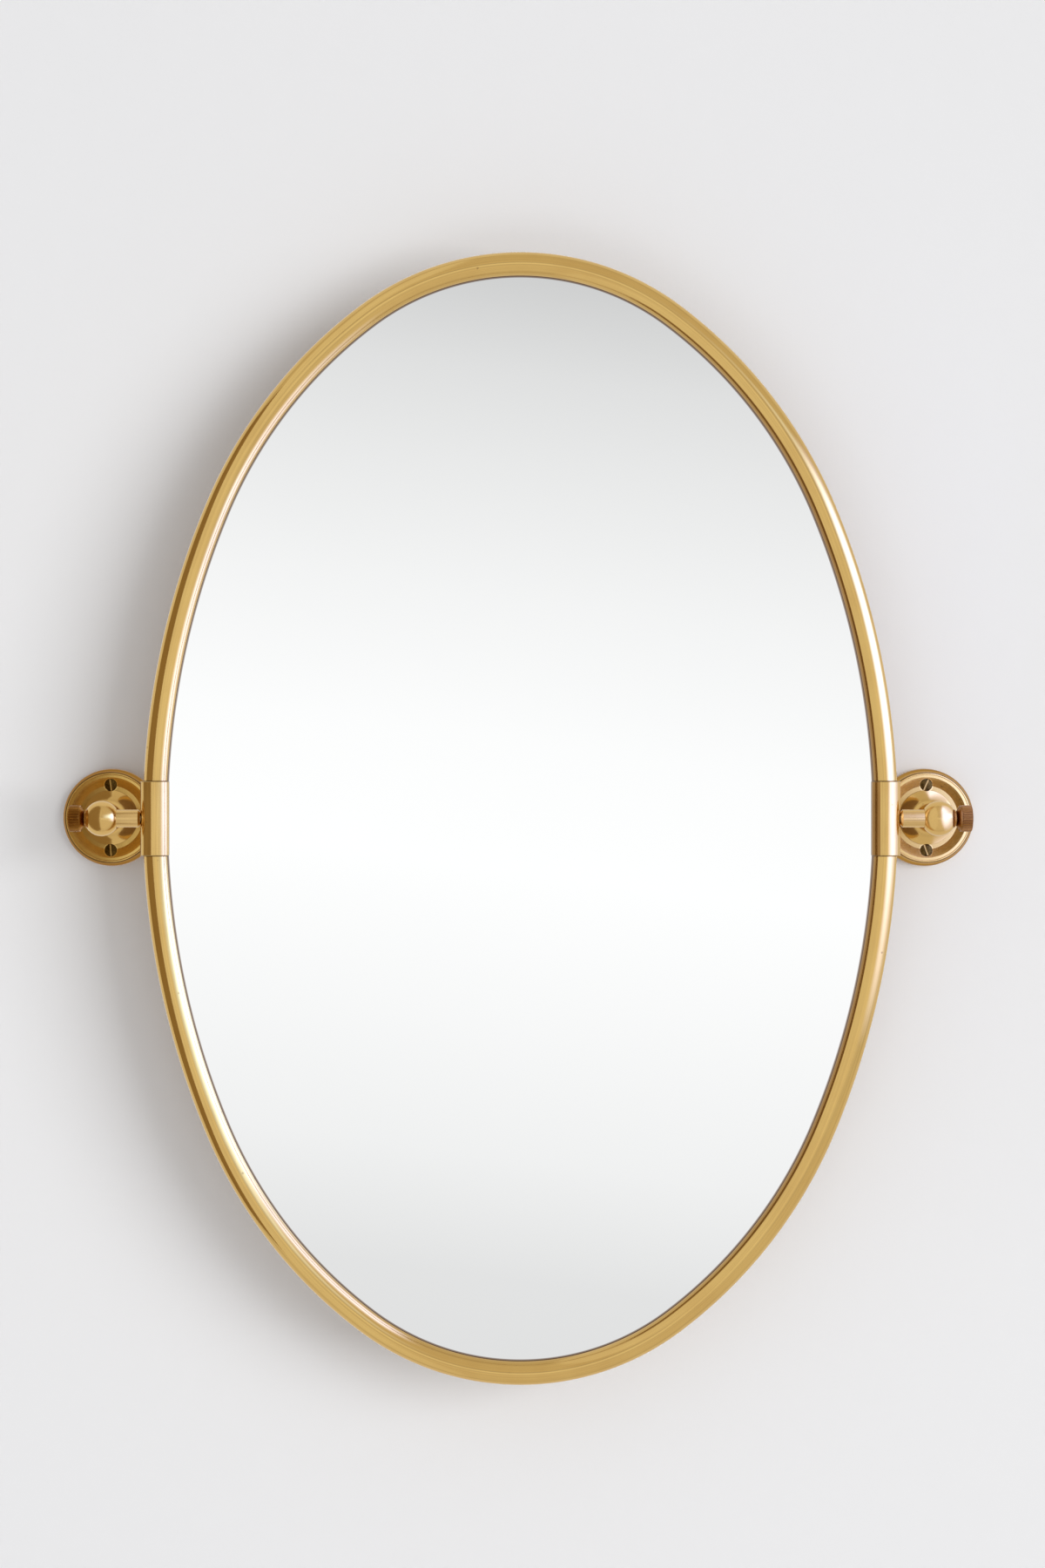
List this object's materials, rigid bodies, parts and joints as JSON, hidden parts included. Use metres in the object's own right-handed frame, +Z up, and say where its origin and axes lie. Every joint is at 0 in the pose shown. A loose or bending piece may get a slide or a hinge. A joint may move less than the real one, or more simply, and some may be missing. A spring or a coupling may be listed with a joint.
{
  "type": "pivot wall mirror",
  "caption": "Oval wall mirror in a brass tube frame that tilts on ball brackets with round screwed wall plates and knurled clamping knobs.",
  "frame": {"origin": "on the wall plane, midway between the two wall plates and level with the pivot axis", "axes": "+Z up along the mirror's long side, +Y into the wall, +X to the right for someone who faces the mirror"},
  "size_m": [0.6306, 0.105, 0.762],
  "materials": {
    "satin_brass": "satin, hand brushed, lightly tarnished",
    "mirror": "clear glass, silvered on the back",
    "hardboard": "matt brown hardboard",
    "rubber": "matt black",
    "steel": "zinc plated",
    "bronzed_steel": "dark oxidised",
    "worn_brass": "coppery brown patina, worn on the ridges"
  },
  "bodies": {
    "wall_brackets": {"left_wall_plate": "satin_brass", "right_wall_plate": "satin_brass", "left_wall_screws": "bronzed_steel", "right_wall_screws": "bronzed_steel", "left_post": "satin_brass", "right_post": "satin_brass", "left_post_screw": "steel", "right_post_screw": "steel", "left_ball": "satin_brass", "right_ball": "satin_brass"},
    "mirror": {"upper_frame_tube": "satin_brass", "lower_frame_tube": "satin_brass", "mirror_glass": "mirror", "backing_board": "hardboard", "upper_glazing_strip": "rubber", "lower_glazing_strip": "rubber", "left_collar": "satin_brass", "right_collar": "satin_brass", "left_joint_plug": "satin_brass", "right_joint_plug": "satin_brass", "left_pivot_stud": "steel", "right_pivot_stud": "steel", "left_spacer": "satin_brass", "right_spacer": "satin_brass"},
    "left_clamp": {"left_washer": "satin_brass"},
    "right_clamp": {"right_washer": "satin_brass"},
    "left_knob_body": {"left_knob": "worn_brass"},
    "right_knob_body": {"right_knob": "worn_brass"}
  },
  "joints": [
    {"name": "mirror_tilt", "type": "hinge", "parent": "wall_brackets", "child": "mirror", "pos_m": [0, -0.065, 0], "axis": [1, 0, 0], "range_deg": [-8.5, 8.5]},
    {"name": "left_clamp_slide", "type": "slide", "parent": "mirror", "child": "left_clamp", "axis": [-1, 0, 0], "range_m": [0, 0.003]},
    {"name": "right_clamp_slide", "type": "slide", "parent": "mirror", "child": "right_clamp", "axis": [1, 0, 0], "range_m": [0, 0.003]},
    {"name": "left_knob_turn", "type": "hinge", "parent": "left_clamp", "child": "left_knob_body", "pos_m": [-0.2816, -0.065, 0], "axis": [-1, 0, 0], "range_deg": [0, 1080]},
    {"name": "right_knob_turn", "type": "hinge", "parent": "right_clamp", "child": "right_knob_body", "pos_m": [0.2816, -0.065, 0], "axis": [1, 0, 0], "range_deg": [0, 1080]}
  ],
  "couplings": [
    {"joint": "left_knob_turn", "follows": "left_clamp_slide", "rad_per_m": 6283.2},
    {"joint": "right_knob_turn", "follows": "right_clamp_slide", "rad_per_m": 6283.2}
  ]
}
